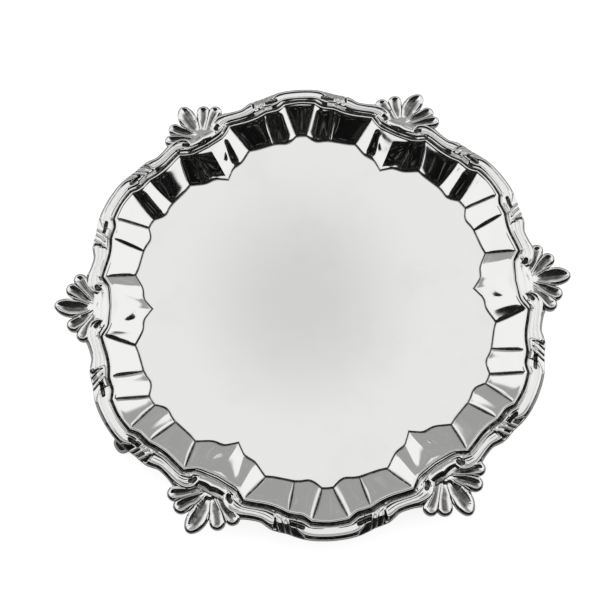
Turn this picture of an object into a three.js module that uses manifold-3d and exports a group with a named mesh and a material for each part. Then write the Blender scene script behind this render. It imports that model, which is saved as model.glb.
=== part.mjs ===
// A footed silver salver: a raised tray with a fluted wall, a cast border of scrolls and shells, and four
// scroll feet. Millimetres, +Z up. The table is z = 0 and the salver's middle line is the Z axis.
import * as THREE from "three";
import { mergeVertices } from "three/addons/utils/BufferGeometryUtils.js";
import Module from "manifold-3d";

const wasm = await Module();
wasm.setup();

// Driving dimensions.
const REPEATS = 6; // a shell and a lobe in each repeat
const SECTOR = 360 / REPEATS;
const LOBE = SECTOR / 2; // degrees from a shell's middle to a lobe's middle
const SHEET = 1.0; // thickness of the tray's silver
const FLOOR_Z = 14.5; // top of the well's floor
const WALL_RISE = 7.1; // floor to ledge
const RIM_Z = FLOOR_Z + WALL_RISE;
const LEDGE_STEP = 0.6; // the ledge stands this far above the flange that carries the border
const FLANGE_Z = RIM_Z - LEDGE_STEP;
const SOLDER_GAP = 0.3;
const SEAT_Z = FLANGE_Z + SOLDER_GAP; // underside of the border castings
const WALL_SHAPE = 0.12; // 0 is a straight wall, more makes it hollow
const FOOT_COUNT = 4;
const FOOT_TURN = 33.3; // degrees from shell 1 to foot 1

// Outlines run from a shell's middle (0 degrees) to a lobe's middle, as corners [degrees, radius, bow].
// Bow is how far the stretch that starts there bows outwards from its chord. The same corners in the floor
// line and the rim line are the two ends of a crease in the wall.
const FLOOR_LINE = [
  [0, 68.9, 1.3],
  [6.5, 73.4, -0.4],
  [11.8, 77.8, 0],
  [20.4, 77.5, 0.25],
  [24.5, 76.9, -0.5],
  [28.4, 80.0, 0],
  [LOBE, 80.1],
];
const RIM_LINE = [
  [0, 83.9, 0.1],
  [5, 84.8, -0.3],
  [8.6, 88.2, -1.0],
  [20.0, 89.2, 0.1],
  [23.2, 89.6, -0.1],
  [25.8, 91.9, 0.15],
  [LOBE, 92.4],
];
const GROOVE_LINE = [
  [0, 85.2, 0.1],
  [5.5, 86.4, -0.3],
  [8.5, 90.0, -0.3],
  [20.0, 91.1, 0],
  [23.2, 91.5, -0.1],
  [25.4, 93.6, 0.2],
  [LOBE, 94.0],
];
const FLANGE_LINE = [
  [0, 94.5, 0],
  [5.5, 94.6, 0],
  [8.5, 95.0, -0.6],
  [20.0, 96.5, 0],
  [23.2, 97.6, 0.1],
  [25.4, 98.6, 0.2],
  [LOBE, 99.2],
];
const STEPS = [2, 2, 2, 2, 2, 1]; // points along each stretch

// Border pieces: the two edges of a moulding, as matching [degrees, radius] points.
const LOBE_SCROLL_EDGES = {
  inner: [[22.9, 92.3], [25.4, 94.0], [LOBE, 94.6], [34.6, 94.0], [37.1, 92.3]],
  outer: [[22.1, 98.0], [24.6, 99.5], [LOBE, 100.2], [35.4, 99.5], [37.9, 98.0]],
};
const RIM_SCROLL_EDGES = {
  inner: [[8.2, 90.5], [12, 90.2], [16, 90.7], [19, 91.6], [21.1, 91.5]],
  outer: [[9.0, 96.3], [12.5, 95.5], [16.4, 97.1], [19.2, 97.4], [21.6, 97.6]],
};
const BAR_EDGES = {
  inner: [[-5.4, 87.0], [0, 86.0], [5.4, 87.0]],
  outer: [[-5.2, 90.4], [0, 90.6], [5.2, 90.4]],
};

// Cross-sections of the mouldings: [share of the width from the inner edge, height above the seat].
const LOBE_SCROLL_SECTION = [
  [0, 0], [0, 1.2], [0.12, 2.1], [0.3, 1.5], [0.6, 1.4], [0.86, 2.5], [1, 1.5], [1, 0],
];
const RIM_SCROLL_SECTION = [
  [0, 0], [0, 1.3], [0.16, 2.0], [0.36, 1.2], [0.66, 1.5], [0.86, 2.3], [1, 1.4], [1, 0],
];
const BAR_SECTION = [[0, 0], [0, 1.0], [0.25, 2.0], [0.5, 1.3], [0.75, 2.2], [1, 1.2], [1, 0]];

// The leaf knuckle at the lobe end of a rim scroll.
const LEAF_START = 0.64; // share of the moulding's length
const LEAF_RIBS = 3;
const LEAF_RIB_HEIGHT = 1.2; // times the moulding's own height
const LEAF_HOLLOW_HEIGHT = 0.75;

const VOLUTE_RADIUS = 1.9;
const VOLUTE_HEIGHT = 2.6;
const LOBE_VOLUTE = [22.7, 93.9];
const SHELL_VOLUTE = [6.5, 91.3];

// The shell's flutes: where each starts and ends, and its greatest half-width.
const PETALS = [
  { root: [89.8, 0], tip: [108, 0], halfWidth: 4.0 },
  { root: [90.2, 2.4], tip: [103.4, 7.7], halfWidth: 3.3 },
  { root: [90.4, 4.8], tip: [100.3, 13.5], halfWidth: 3.3 },
];
const PETAL_SECTION = [[-1, 0], [-1, 0.6], [-0.7, 1], [0, 0.55], [0.7, 1], [1, 0.6], [1, 0]];
const PETAL_LENGTHWISE = [ // share of the length, share of the half-width, crown height
  [0, 0.45, 1.9],
  [0.45, 0.8, 2.2],
  [0.8, 1, 1.8],
  [1, 0.15, 0.9],
];
const SHELL_DROOP_START = 95.2; // outside this radius the shell bends down past the tray's edge
const SHELL_DROOP = 1.9; // at the tip

function polar(degrees, radius) {
  const angle = THREE.MathUtils.degToRad(degrees);
  return new THREE.Vector2(radius * Math.cos(angle), radius * Math.sin(angle));
}

// One repeat of an outline is the half outline and its mirror image, and REPEATS of them make the ring.
function outlineRing(line) {
  const half = [];
  STEPS.forEach((count, stretch) => {
    const [degrees, radius, bow] = line[stretch];
    const start = polar(degrees, radius);
    const end = polar(line[stretch + 1][0], line[stretch + 1][1]);
    const chord = end.clone().sub(start);
    const outwards = new THREE.Vector2(chord.y, -chord.x).normalize();
    for (let i = 0; i < count; i++) {
      const t = i / count;
      const point = start.clone().addScaledVector(chord, t);
      half.push(point.addScaledVector(outwards, 4 * bow * t * (1 - t)));
    }
  });
  const [lobeDegrees, lobeRadius] = line[line.length - 1];
  const mirrored = half.slice(1).reverse().map((p) => {
    return new THREE.Vector2(p.x, -p.y).rotateAround(new THREE.Vector2(), THREE.MathUtils.degToRad(SECTOR));
  });
  const repeat = [...half, polar(lobeDegrees, lobeRadius), ...mirrored];
  const ring = [];
  for (let i = 0; i < REPEATS; i++) {
    const turn = THREE.MathUtils.degToRad(i * SECTOR);
    ring.push(...repeat.map((p) => p.clone().rotateAround(new THREE.Vector2(), turn)));
  }
  return ring;
}

const atHeight = (ring, z) => ring.map((p) => new THREE.Vector3(p.x, p.y, z));

// A closed geometry from vertices and triangles. The triangles are turned round if they face inwards.
function closedGeometry(vertices, triangles) {
  let volume = 0;
  for (const [a, b, c] of triangles) {
    volume += vertices[a].dot(new THREE.Vector3().crossVectors(vertices[b], vertices[c]));
  }
  const index = triangles.flatMap(([a, b, c]) => (volume > 0 ? [a, b, c] : [a, c, b]));
  const geometry = new THREE.BufferGeometry().setFromPoints(vertices);
  return geometry.setIndex(index);
}

// Joins rings of equal length into a skin. Each end is closed by the given triangles or by a middle point.
function skin(rings, capTriangles, startPoint, endPoint) {
  const count = rings[0].length;
  const vertices = rings.flat();
  const triangles = [];
  for (let r = 0; r + 1 < rings.length; r++) {
    for (let i = 0; i < count; i++) {
      const a = r * count + i;
      const b = r * count + ((i + 1) % count);
      triangles.push([a, b, b + count], [a, b + count, a + count]);
    }
  }
  const last = (rings.length - 1) * count;
  if (capTriangles) {
    for (const [a, b, c] of capTriangles) triangles.push([a, c, b], [last + a, last + b, last + c]);
  } else {
    const start = vertices.push(startPoint) - 1;
    const end = vertices.push(endPoint) - 1;
    for (let i = 0; i < count; i++) {
      const next = (i + 1) % count;
      triangles.push([start, next, i], [end, last + i, last + next]);
    }
  }
  return closedGeometry(vertices, triangles);
}

function curveThrough(points) {
  return new THREE.SplineCurve(points.map(([degrees, radius]) => polar(degrees, radius)));
}

// A moulding: the section is set across the strip between two edges, at the given shares of its length.
function moulding(edges, section, shares, heightAt = () => 1) {
  const inner = curveThrough(edges.inner);
  const outer = curveThrough(edges.outer);
  const rings = shares.map((share) => {
    const from = inner.getPoint(share);
    const to = outer.getPoint(share);
    return section.map(([across, height]) => {
      const point = from.clone().lerp(to, across);
      return new THREE.Vector3(point.x, point.y, SEAT_Z + height * heightAt(share));
    });
  });
  return skin(rings, triangulate(section));
}

// Triangles that fill a section, turning the same way as its outline does.
function triangulate(section) {
  const points = section.map(([x, y]) => new THREE.Vector2(x, y));
  const turn = (corners) => Math.sign(THREE.ShapeUtils.area(corners));
  return THREE.ShapeUtils.triangulateShape(points, []).map(([a, b, c]) => {
    return turn([points[a], points[b], points[c]]) === turn(points) ? [a, b, c] : [a, c, b];
  });
}

const evenShares = (count) => Array.from({ length: count + 1 }, (_, i) => i / count);

function toSolid(geometry) {
  const bare = geometry.clone();
  bare.deleteAttribute("normal");
  bare.deleteAttribute("uv");
  const merged = mergeVertices(bare, 1e-4);
  return new wasm.Manifold(new wasm.Mesh({
    numProp: 3,
    vertProperties: merged.attributes.position.array,
    triVerts: new Uint32Array(merged.index.array),
  }));
}

function toGeometry(solid) {
  const mesh = solid.getMesh();
  const positions = new Float32Array(mesh.numVert * 3);
  for (let i = 0; i < mesh.numVert; i++) {
    positions.set(mesh.vertProperties.subarray(i * mesh.numProp, i * mesh.numProp + 3), i * 3);
  }
  const geometry = new THREE.BufferGeometry();
  geometry.setAttribute("position", new THREE.BufferAttribute(positions, 3));
  geometry.setIndex(new THREE.BufferAttribute(mesh.triVerts, 1));
  return geometry;
}

const join = (geometries) => toGeometry(geometries.map(toSolid).reduce((all, one) => all.add(one)));

// The tray

const floorRing = outlineRing(FLOOR_LINE);
const rimRing = outlineRing(RIM_LINE);
const grooveRing = outlineRing(GROOVE_LINE);
const flangeRing = outlineRing(FLANGE_LINE);

// A ring part of the way up the wall. Depth is how far it lies under the wall's upper face.
function wallRing(share, depth) {
  const rise = WALL_RISE * ((1 - WALL_SHAPE) * share + WALL_SHAPE * share * share);
  const ring = floorRing.map((p, i) => p.clone().lerp(rimRing[i], share));
  return atHeight(ring, FLOOR_Z + rise - depth);
}

const UNDER_FLANGE = FLANGE_Z - SHEET;
const WALL_SHARES = [1 / 3, 2 / 3];

// The underside's rings, from the middle outwards, lowered by the given drop.
function undersideRings(drop) {
  const thicker = RIM_Z - UNDER_FLANGE - SHEET; // the wall is this much thicker, measured upright, at its top
  return [
    atHeight(floorRing, FLOOR_Z - SHEET - drop),
    ...WALL_SHARES.map((share) => wallRing(share, SHEET + thicker * share + drop)),
    atHeight(rimRing, UNDER_FLANGE - drop),
    atHeight(flangeRing, UNDER_FLANGE - drop),
  ];
}

function trayPlate() {
  const rings = [
    atHeight(floorRing, FLOOR_Z),
    ...WALL_SHARES.map((share) => wallRing(share, 0)),
    atHeight(rimRing, RIM_Z),
    atHeight(grooveRing, RIM_Z),
    atHeight(grooveRing, FLANGE_Z),
    atHeight(flangeRing, FLANGE_Z),
    ...undersideRings(0).reverse(),
  ];
  return skin(rings, null, new THREE.Vector3(0, 0, FLOOR_Z), new THREE.Vector3(0, 0, FLOOR_Z - SHEET));
}

// The border

function volute([degrees, radius]) {
  const profile = [[0, 0], [1, 0], [1, 0.6], [0.62, 0.95], [0.45, 0.7], [0, 1]];
  const points = profile.map(([r, z]) => new THREE.Vector2(r * VOLUTE_RADIUS, z * VOLUTE_HEIGHT));
  const centre = polar(degrees, radius);
  const knob = new THREE.LatheGeometry(points, 8).rotateX(Math.PI / 2);
  return knob.translate(centre.x, centre.y, SEAT_Z);
}

function lobeScroll() {
  const body = moulding(LOBE_SCROLL_EDGES, LOBE_SCROLL_SECTION, evenShares(6));
  const [degrees, radius] = LOBE_VOLUTE;
  return join([body, volute([degrees, radius]), volute([SECTOR - degrees, radius])]);
}

// The leaf knuckle's ribs alternate with hollows.
function leafHeight(share) {
  if (share < LEAF_START) return 1;
  const halfRib = Math.round(((share - LEAF_START) / (1 - LEAF_START)) * 2 * LEAF_RIBS);
  return halfRib % 2 ? LEAF_RIB_HEIGHT : LEAF_HOLLOW_HEIGHT;
}

function rimScroll() {
  const plainShares = evenShares(4).slice(0, -1).map((t) => LEAF_START * t);
  const leafShares = evenShares(2 * LEAF_RIBS).map((t) => LEAF_START + (1 - LEAF_START) * t);
  return moulding(RIM_SCROLL_EDGES, RIM_SCROLL_SECTION, [...plainShares, ...leafShares], leafHeight);
}

function mirrored(geometry) {
  const flipped = geometry.clone().scale(1, -1, 1);
  const index = flipped.getIndex().array;
  for (let i = 0; i < index.length; i += 3) [index[i + 1], index[i + 2]] = [index[i + 2], index[i + 1]];
  return flipped;
}

// The shell's underside lies on the flange and bends down beyond it.
function shellSeat(radius) {
  const past = Math.max(0, radius - SHELL_DROOP_START) / (PETALS[0].tip[0] - SHELL_DROOP_START);
  return SEAT_Z - SHELL_DROOP * past * past;
}

function petal({ root, tip, halfWidth }) {
  const start = new THREE.Vector2(...root);
  const along = new THREE.Vector2(...tip).sub(start);
  const sideways = new THREE.Vector2(-along.y, along.x).normalize();
  const rings = PETAL_LENGTHWISE.map(([length, width, crown]) => {
    return PETAL_SECTION.map(([across, height]) => {
      const point = start.clone().addScaledVector(along, length);
      const seat = shellSeat(point.length());
      point.addScaledVector(sideways, across * width * halfWidth);
      return new THREE.Vector3(point.x, point.y, seat + height * crown);
    });
  });
  return skin(rings, triangulate(PETAL_SECTION));
}

function shell() {
  const rightPetals = PETALS.slice(1).map(petal);
  const [degrees, radius] = SHELL_VOLUTE;
  return join([
    moulding(BAR_EDGES, BAR_SECTION, evenShares(2)),
    volute([degrees, radius]),
    volute([-degrees, radius]),
    petal(PETALS[0]),
    ...rightPetals,
    ...rightPetals.map(mirrored),
  ]);
}

// The feet

const FOOT_TOP = 22; // a foot is made this high, then cut to the tray's underside
const FOOT_BEVEL = 0.7;
const FOOT_BEVEL_THICKNESS = 0.4;
const FOOT_BLANK_DEPTH = 2; // before it takes its half-widths
const FOOT_HALF_WIDTHS = [ // height above the table, half-width
  [0, 3.6],
  [3.2, 3.8],
  [8.5, 2.8],
  [13.0, 4.6],
  [FOOT_TOP, 7.0],
];

// Side view of a foot: X is the distance from the salver's middle, Y is the height above the table.
function footOutline() {
  const outline = new THREE.Shape();
  outline.moveTo(98.2, 0);
  outline.lineTo(101.0, 0);
  outline.bezierCurveTo(102.6, 0, 103.4, 1.6, 103.4, 3.2);
  outline.bezierCurveTo(103.4, 5.2, 101.9, 6.6, 100.0, 6.4);
  outline.bezierCurveTo(97.0, 6.1, 94.6, 7.8, 94.0, 10.4);
  outline.bezierCurveTo(93.2, 13.6, 93.6, 16.5, 93.6, FOOT_TOP);
  outline.lineTo(79.5, FOOT_TOP);
  outline.lineTo(79.5, 12.4);
  outline.bezierCurveTo(84.0, 12.6, 89.0, 11.5, 90.8, 8.0);
  outline.bezierCurveTo(92.6, 4.4, 94.6, 0, 98.2, 0);
  return outline;
}

function footHalfWidth(z) {
  const next = Math.max(1, FOOT_HALF_WIDTHS.findIndex(([height]) => height >= z));
  const [lowZ, lowWidth] = FOOT_HALF_WIDTHS[next - 1];
  const [highZ, highWidth] = FOOT_HALF_WIDTHS[next];
  return THREE.MathUtils.mapLinear(z, lowZ, highZ, lowWidth, highWidth);
}

// Everything above the tray's underside, less the solder gap: what a foot must stay out of.
function aboveUnderside() {
  const top = 2 * RIM_Z;
  const under = undersideRings(SOLDER_GAP);
  const rings = [...under, atHeight(flangeRing, top)];
  const low = new THREE.Vector3(0, 0, FLOOR_Z - SHEET - SOLDER_GAP);
  return toSolid(skin(rings, null, low, new THREE.Vector3(0, 0, top)));
}

function foot(degrees, above) {
  const blank = new THREE.ExtrudeGeometry(footOutline(), {
    depth: FOOT_BLANK_DEPTH,
    curveSegments: 5,
    bevelSegments: 1,
    bevelSize: FOOT_BEVEL,
    bevelOffset: -FOOT_BEVEL,
    bevelThickness: FOOT_BEVEL_THICKNESS,
  });
  blank.translate(0, 0, -FOOT_BLANK_DEPTH / 2).rotateX(Math.PI / 2);
  const position = blank.attributes.position;
  const blankHalfWidth = FOOT_BLANK_DEPTH / 2 + FOOT_BEVEL_THICKNESS;
  for (let i = 0; i < position.count; i++) {
    const width = footHalfWidth(Math.max(0, position.getZ(i)));
    position.setY(i, (position.getY(i) / blankHalfWidth) * width);
  }
  blank.rotateZ(THREE.MathUtils.degToRad(degrees));
  return toGeometry(toSolid(blank).subtract(above));
}

// The assembly

const salver = new THREE.Group();

function addPiece(parent, name, geometry, material) {
  const piece = new THREE.Mesh(geometry, material);
  piece.name = name;
  piece.geometry.computeVertexNormals();
  parent.add(piece);
}

const trayFinish = () => new THREE.MeshStandardMaterial({ color: 0xf2f2f0, metalness: 1, roughness: 0.16 });
const borderFinish = () => new THREE.MeshStandardMaterial({ color: 0xe9e9e6, metalness: 1, roughness: 0.2 });
const footFinish = () => new THREE.MeshStandardMaterial({ color: 0xdcdcd8, metalness: 1, roughness: 0.24 });

addPiece(salver, "tray_plate", trayPlate(), trayFinish());

const lobeScrollGeometry = lobeScroll();
const rimScrollGeometry = rimScroll();
const shellGeometry = shell();
for (let i = 0; i < REPEATS; i++) {
  const repeat = new THREE.Group();
  repeat.rotation.z = THREE.MathUtils.degToRad(i * SECTOR);
  addPiece(repeat, `shell_${i + 1}`, shellGeometry, borderFinish());
  addPiece(repeat, `rim_scroll_${i + 1}_left`, rimScrollGeometry, borderFinish());
  addPiece(repeat, `rim_scroll_${i + 1}_right`, mirrored(rimScrollGeometry), borderFinish());
  addPiece(repeat, `lobe_scroll_${i + 1}`, lobeScrollGeometry, borderFinish());
  salver.add(repeat);
}

const above = aboveUnderside();
for (let i = 0; i < FOOT_COUNT; i++) {
  const degrees = FOOT_TURN + (i * 360) / FOOT_COUNT;
  addPiece(salver, `foot_${i + 1}`, foot(degrees, above), footFinish());
}

export default salver;
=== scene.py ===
"""A small silver salver: a raised tray with a fluted wall, a cast border of scrolls and shells, and its feet.

Outlines, sections and heights are in millimetres and degrees; new_piece scales them to metres.
"""
import math

import bpy
import numpy as np
from mathutils import Matrix, Vector


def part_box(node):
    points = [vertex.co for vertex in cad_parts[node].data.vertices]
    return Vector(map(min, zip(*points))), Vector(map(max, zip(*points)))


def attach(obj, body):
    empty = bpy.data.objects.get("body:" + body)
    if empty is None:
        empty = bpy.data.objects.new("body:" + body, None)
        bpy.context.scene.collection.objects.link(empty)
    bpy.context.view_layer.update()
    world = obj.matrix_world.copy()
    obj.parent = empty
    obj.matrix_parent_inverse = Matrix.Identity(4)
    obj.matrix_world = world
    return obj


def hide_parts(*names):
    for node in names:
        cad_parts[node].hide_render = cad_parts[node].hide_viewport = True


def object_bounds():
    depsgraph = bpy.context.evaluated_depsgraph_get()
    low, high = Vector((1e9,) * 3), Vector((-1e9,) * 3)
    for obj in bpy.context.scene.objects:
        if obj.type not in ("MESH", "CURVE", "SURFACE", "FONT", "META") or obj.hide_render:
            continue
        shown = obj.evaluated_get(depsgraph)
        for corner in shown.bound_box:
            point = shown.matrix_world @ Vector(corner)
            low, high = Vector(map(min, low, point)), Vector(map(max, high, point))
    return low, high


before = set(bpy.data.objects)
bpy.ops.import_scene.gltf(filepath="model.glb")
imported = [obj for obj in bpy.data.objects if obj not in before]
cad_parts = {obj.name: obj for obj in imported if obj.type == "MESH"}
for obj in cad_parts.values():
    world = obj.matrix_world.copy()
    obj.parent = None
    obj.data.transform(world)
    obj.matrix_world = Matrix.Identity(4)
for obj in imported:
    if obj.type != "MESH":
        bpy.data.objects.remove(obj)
CAD_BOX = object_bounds()

MM = 0.001
SECTORS = 6
SECTOR = 360 / SECTORS  # degrees from one shell's middle to the next
HALF = SECTOR / 2

# Heights
SHEET = 1.0
UNDER_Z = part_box("tray_plate")[0].z / MM
FLOOR_Z = UNDER_Z + SHEET
WALL_RISE = 7.1
RIM_Z = FLOOR_Z + WALL_RISE
LEDGE_STEP = 0.6
FLANGE_Z = RIM_Z - LEDGE_STEP

# ---------------------------------------------------------------- outlines
# Half a sector, from a shell's middle (0 degrees) to a lobe's middle (30 degrees), as four panels between
# creases. Each panel has its number of columns, the share of it that lies in this half, and its stretch of
# the four outlines as (degrees, radius): the well's edge, the wall's top, the groove and the flange's edge.
PANELS = (
    (
        24, 1.0,
        ((0, 68.9), (2, 70.9), (4, 72.7), (7.8, 73.9), (11.8, 77.8)),
        ((0, 83.9), (2.5, 84.2), (5, 84.7), (7.1, 86.25), (8.6, 88.2)),
        ((0, 85.2), (2.5, 85.6), (5.5, 86.4), (7, 88.1), (8.5, 90.0)),
        ((0, 94.5), (3, 94.55), (5.5, 94.6), (7, 94.7), (8.5, 95.0)),
    ),
    (
        20, 1.0,
        ((11.8, 77.8), (14, 77.35), (16, 77.3), (18.2, 77.4), (20.4, 77.6)),
        ((8.6, 88.2), (11.5, 87.6), (14.3, 87.3), (17.2, 87.8), (20, 89.2)),
        ((8.5, 90.0), (11.5, 89.55), (14.3, 89.25), (17.2, 89.75), (20, 91.1)),
        ((8.5, 95.0), (11.5, 94.8), (14.3, 94.9), (17.2, 95.8), (20, 96.5)),
    ),
    (
        20, 1.0,
        ((20.4, 77.6), (22.2, 77.4), (24.5, 76.9), (26.3, 77.7), (28.4, 80.0)),
        ((20, 89.2), (21.8, 89.4), (23.2, 89.55), (24.55, 90.4), (25.8, 91.9)),
        ((20, 91.1), (21.8, 91.3), (23.2, 91.5), (24.3, 92.4), (25.4, 93.6)),
        ((20, 96.5), (21.8, 97.0), (23.2, 97.6), (24.3, 98.1), (25.4, 98.6)),
    ),
    (
        6, 0.5,
        ((28.4, 80.0), (30, 80.12), (31.6, 80.0)),
        ((25.8, 91.9), (30, 92.5), (34.2, 91.9)),
        ((25.4, 93.6), (30, 94.1), (34.6, 93.6)),
        ((25.4, 98.6), (30, 99.2), (34.6, 98.6)),
    ),
)
WELL, RIM, GROOVE, FLANGE = range(4)
CREASES = [sum(panel[0] for panel in PANELS[:k]) for k in range(1, len(PANELS))]  # columns of a half sector
CROWDING = 0.9  # how strongly a panel's columns crowd towards its creases, 0 to 1
# The border's outer edge over the same half sector, outside the shell
BORDER_EDGE = ((8.2, 97.0), (10, 96.1), (12, 95.65), (13.7, 95.7), (15.2, 96.7), (16.4, 97.5), (18, 97.9),
               (20, 98.2), (21.6, 98.85), (22.8, 99.35), (24.2, 99.8), (26.5, 100.2), (30, 100.4))
SHELL_HALF = 8.2  # where a shell meets the scrolls beside it
KNUCKLE_END = 21.9  # where a scroll meets the lobe's scroll
FAR = 1e9  # more than any distance here


def spline(points, t):
    """A smooth curve through the points, at parameters t from 0 to 1."""
    p = np.array(points, float)
    slopes = np.gradient(p, axis=0)
    s = np.clip(np.asarray(t, float), 0, 1) * (len(p) - 1)
    k = np.minimum(s.astype(int), len(p) - 2)
    f = (s - k)[:, None]
    return ((2 * f**3 - 3 * f**2 + 1) * p[k] + (f**3 - 2 * f**2 + f) * slopes[k]
            + (3 * f**2 - 2 * f**3) * p[k + 1] + (f**3 - f**2) * slopes[k + 1])


def smooth(a, b, x):
    """0 on a's side, 1 on b's side, with a soft step between."""
    t = np.clip((x - a) / (b - a), 0, 1)
    return t * t * (3 - 2 * t)


def half_lines():
    """The four outlines of a half sector sampled at the same columns, as arrays of (degrees, radius)."""
    lines = [[], [], [], []]
    for columns, share, *outlines in PANELS:
        s = np.arange(columns) / columns * share
        t = s - CROWDING * np.sin(2 * np.pi * s) / (2 * np.pi)
        for line, points in zip(lines, outlines):
            line.append(spline(points, t))
    for line, (_, lobe_middle, _) in zip(lines, PANELS[-1][2:]):
        line.append(np.array([lobe_middle], float))
    return [np.concatenate(line) for line in lines]


HALF_LINES = half_lines()
EDGE_LINE = spline(BORDER_EDGE, np.linspace(0, 1, 120))


def radius_at(line, degrees):
    """Radius of one of the four outlines, for angles in the half sector."""
    return np.interp(degrees, HALF_LINES[line][:, 0], HALF_LINES[line][:, 1])


def edge_at(degrees):
    """Radius of the border's outer edge, for angles in the half sector."""
    return np.interp(degrees, EDGE_LINE[:, 0], EDGE_LINE[:, 1])


# ---------------------------------------------------------------- mesh helpers
def new_piece(name, verts, faces, material, recess, sharp=55):
    """A mesh in metres, smooth up to the angle called sharp, that keeps its recess values for the tarnish and
    painted shade.
    """
    mesh = bpy.data.meshes.new(name)
    mesh.from_pydata((np.asarray(verts) * MM).tolist(), [], [list(map(int, f)) for f in faces])
    mesh.validate()
    mesh.shade_smooth()
    mesh.set_sharp_from_angle(angle=math.radians(sharp))
    attribute = mesh.attributes.new("recess", "FLOAT", "POINT")
    attribute.data.foreach_set("value", np.asarray(recess, np.float32))
    mesh.materials.append(material)
    return mesh


def place(name, mesh, node, degrees=0.0):
    """Puts a copy of the mesh in its repeat. The copy's points are turned, so the object's box is true."""
    turned = mesh.copy()
    turned.transform(Matrix.Rotation(math.radians(degrees), 4, "Z"))
    obj = bpy.data.objects.new(name, turned)
    bpy.context.scene.collection.objects.link(obj)
    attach(obj, "root")
    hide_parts(node)


def grid_faces(rows, cols, start=0, closed=False, flip=False):
    """Quads of a grid of vertices, rows of cols each."""
    faces = []
    last = cols if closed else cols - 1
    for i in range(rows - 1):
        for j in range(last):
            a, b = start + i * cols + j, start + i * cols + (j + 1) % cols
            q = (a, a + cols, b + cols, b)
            faces.append(q[::-1] if flip else q)
    return faces


# ---------------------------------------------------------------- tray
# The tray is a stack of rings with the same columns: over the well, up the wall, over the ledge, into the
# groove, out along the flange and back underneath. A ring is (degrees, radius, height, recess).
WALL_SECTION = ((0, 0.12, 0.9, 1), (0, 0.09, 0.92, 1))  # rise against share of the wall's width
LEDGE_SECTION = (  # height above the wall's top against share of the way from there to the groove
    (0, 0.07, 0.16, 0.27, 0.38, 0.48, 0.57, 0.66, 0.88, 1.0),
    (0, 0.18, 0.34, 0.43, 0.44, 0.36, 0.18, -0.1, -1.1, -1.15),
)
WELL_STEPS = (0.06, 0.15, 0.25, 0.35, 0.45, 0.55, 0.65, 0.74, 0.81, 0.87, 0.91, 0.94, 0.96)
WALL_STEPS = (0.009, 0.018, 0.03, 0.05, 0.08, 0.13, 0.2, 0.28, 0.37, 0.46, 0.55, 0.64, 0.73, 0.81, 0.88, 0.93,
              0.965, 0.985, 1.0)
LEDGE_STEPS = (0.06, 0.12, 0.18, 0.25, 0.32, 0.39, 0.46, 0.54, 0.62, 0.72, 0.82, 0.92, 1.0)
FLANGE_STEPS = ((0.06, 0.5, 1.0), (0.14, 0, 1.0), (0.5, 0, 0.0), (1.0, 0, 0.0))  # (share, drop, recess)
FLANGE_UNDER_STEPS = (1.0, 0.6, 0.2)
WALL_UNDER_STEPS = (1.0, 0.96, 0.9, 0.8, 0.65, 0.5, 0.35, 0.2, 0.1, 0.05, 0.02, 0.0)
WELL_UNDER_STEPS = (0.97, 0.9, 0.75, 0.5, 0.25, 0.08)
WELL_ROUND = 76  # radius of the circle that the well's inner rings tend to
FLOOR_LINE_DEPTH = 0.25  # the line struck round the well
FLOOR_LINE_STEPS = (-1.2, -0.75, -0.5, -0.3, -0.14)  # rings of that line, inside the well's edge
FLOOR_LINE_WIDTH, FLOOR_LINE_WALL_WIDTH = 0.42, 0.3  # over the well and up the wall
CREASE_DEPTH = 0.2
CREASE_SHIFT = 0.15
CREASE_WIDTH, CREASE_WIDENING = 0.14, 0.3  # at the wall's foot and top, and what is added at mid height
CUSP_WIDTH = 4.0  # degrees beside a cusp's ridge over which the wall's rise is gentle
CUSP_BELLY, CUSP_BELLY_WIDTH = 5.6, 1.25  # where the panels beside the cusp swell, in degrees from the ridge
LENS_HEIGHT, LENS_REACH = 0.85, (2.8, 1.4)  # the swelling along the second crease, and its reach each side
MM_PER_DEGREE = 1.4  # along the wall
WALL_THINNING = 0.14  # the share by which the wall's sheet is thinner, measured upright
WELL_RIPPLE, WALL_RIPPLE = 0.006, 0.012  # unevenness of the hand-raised sheet


def all_round(half):
    """A half sector's outline, mirrored into a sector and repeated round the tray."""
    mirrored = half[1:-1][::-1].copy()
    mirrored[:, 0] = SECTOR - mirrored[:, 0]
    sector = np.concatenate([half, mirrored])
    return np.concatenate([sector + [SECTOR * s, 0] for s in range(SECTORS)])


LINES = [all_round(half) for half in HALF_LINES]
WELL_DEGREES, WELL_RADIUS = LINES[WELL].T
COLUMNS = len(WELL_DEGREES)
FROM_SHELL = np.minimum(WELL_DEGREES % SECTOR, SECTOR - WELL_DEGREES % SECTOR)


def crease_columns():
    """The columns of all the wall's creases, round the whole tray."""
    per_sector = COLUMNS // SECTORS
    both_sides = CREASES + [per_sector - c for c in CREASES]
    return [c + s * per_sector for s in range(SECTORS) for c in both_sides]


CREASE_COLUMNS = crease_columns()


def between(inner, outer, share):
    """Degrees and radii a share of the way from one outline to another."""
    a, b = LINES[inner], LINES[outer]
    return a[:, 0] + (b[:, 0] - a[:, 0]) * share, a[:, 1] + (b[:, 1] - a[:, 1]) * share


def crease_mark(f):
    """How close each column is to a crease, 1 on it, at a share f of the wall's width."""
    degrees, radius = between(WELL, RIM, f)
    apart = np.full(COLUMNS, FAR)
    for c in CREASE_COLUMNS:
        distance = np.abs((degrees - degrees[c] + 180) % 360 - 180) * radius * math.pi / 180
        apart = np.minimum(apart, distance)
    width = CREASE_WIDTH + CREASE_WIDENING * (4 * max(f * (1 - f), 0.0)) ** 0.5
    return np.exp(-(apart / width) ** 2) * min(1.0, (f * (1 - f) * 30) ** 0.5)


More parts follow.
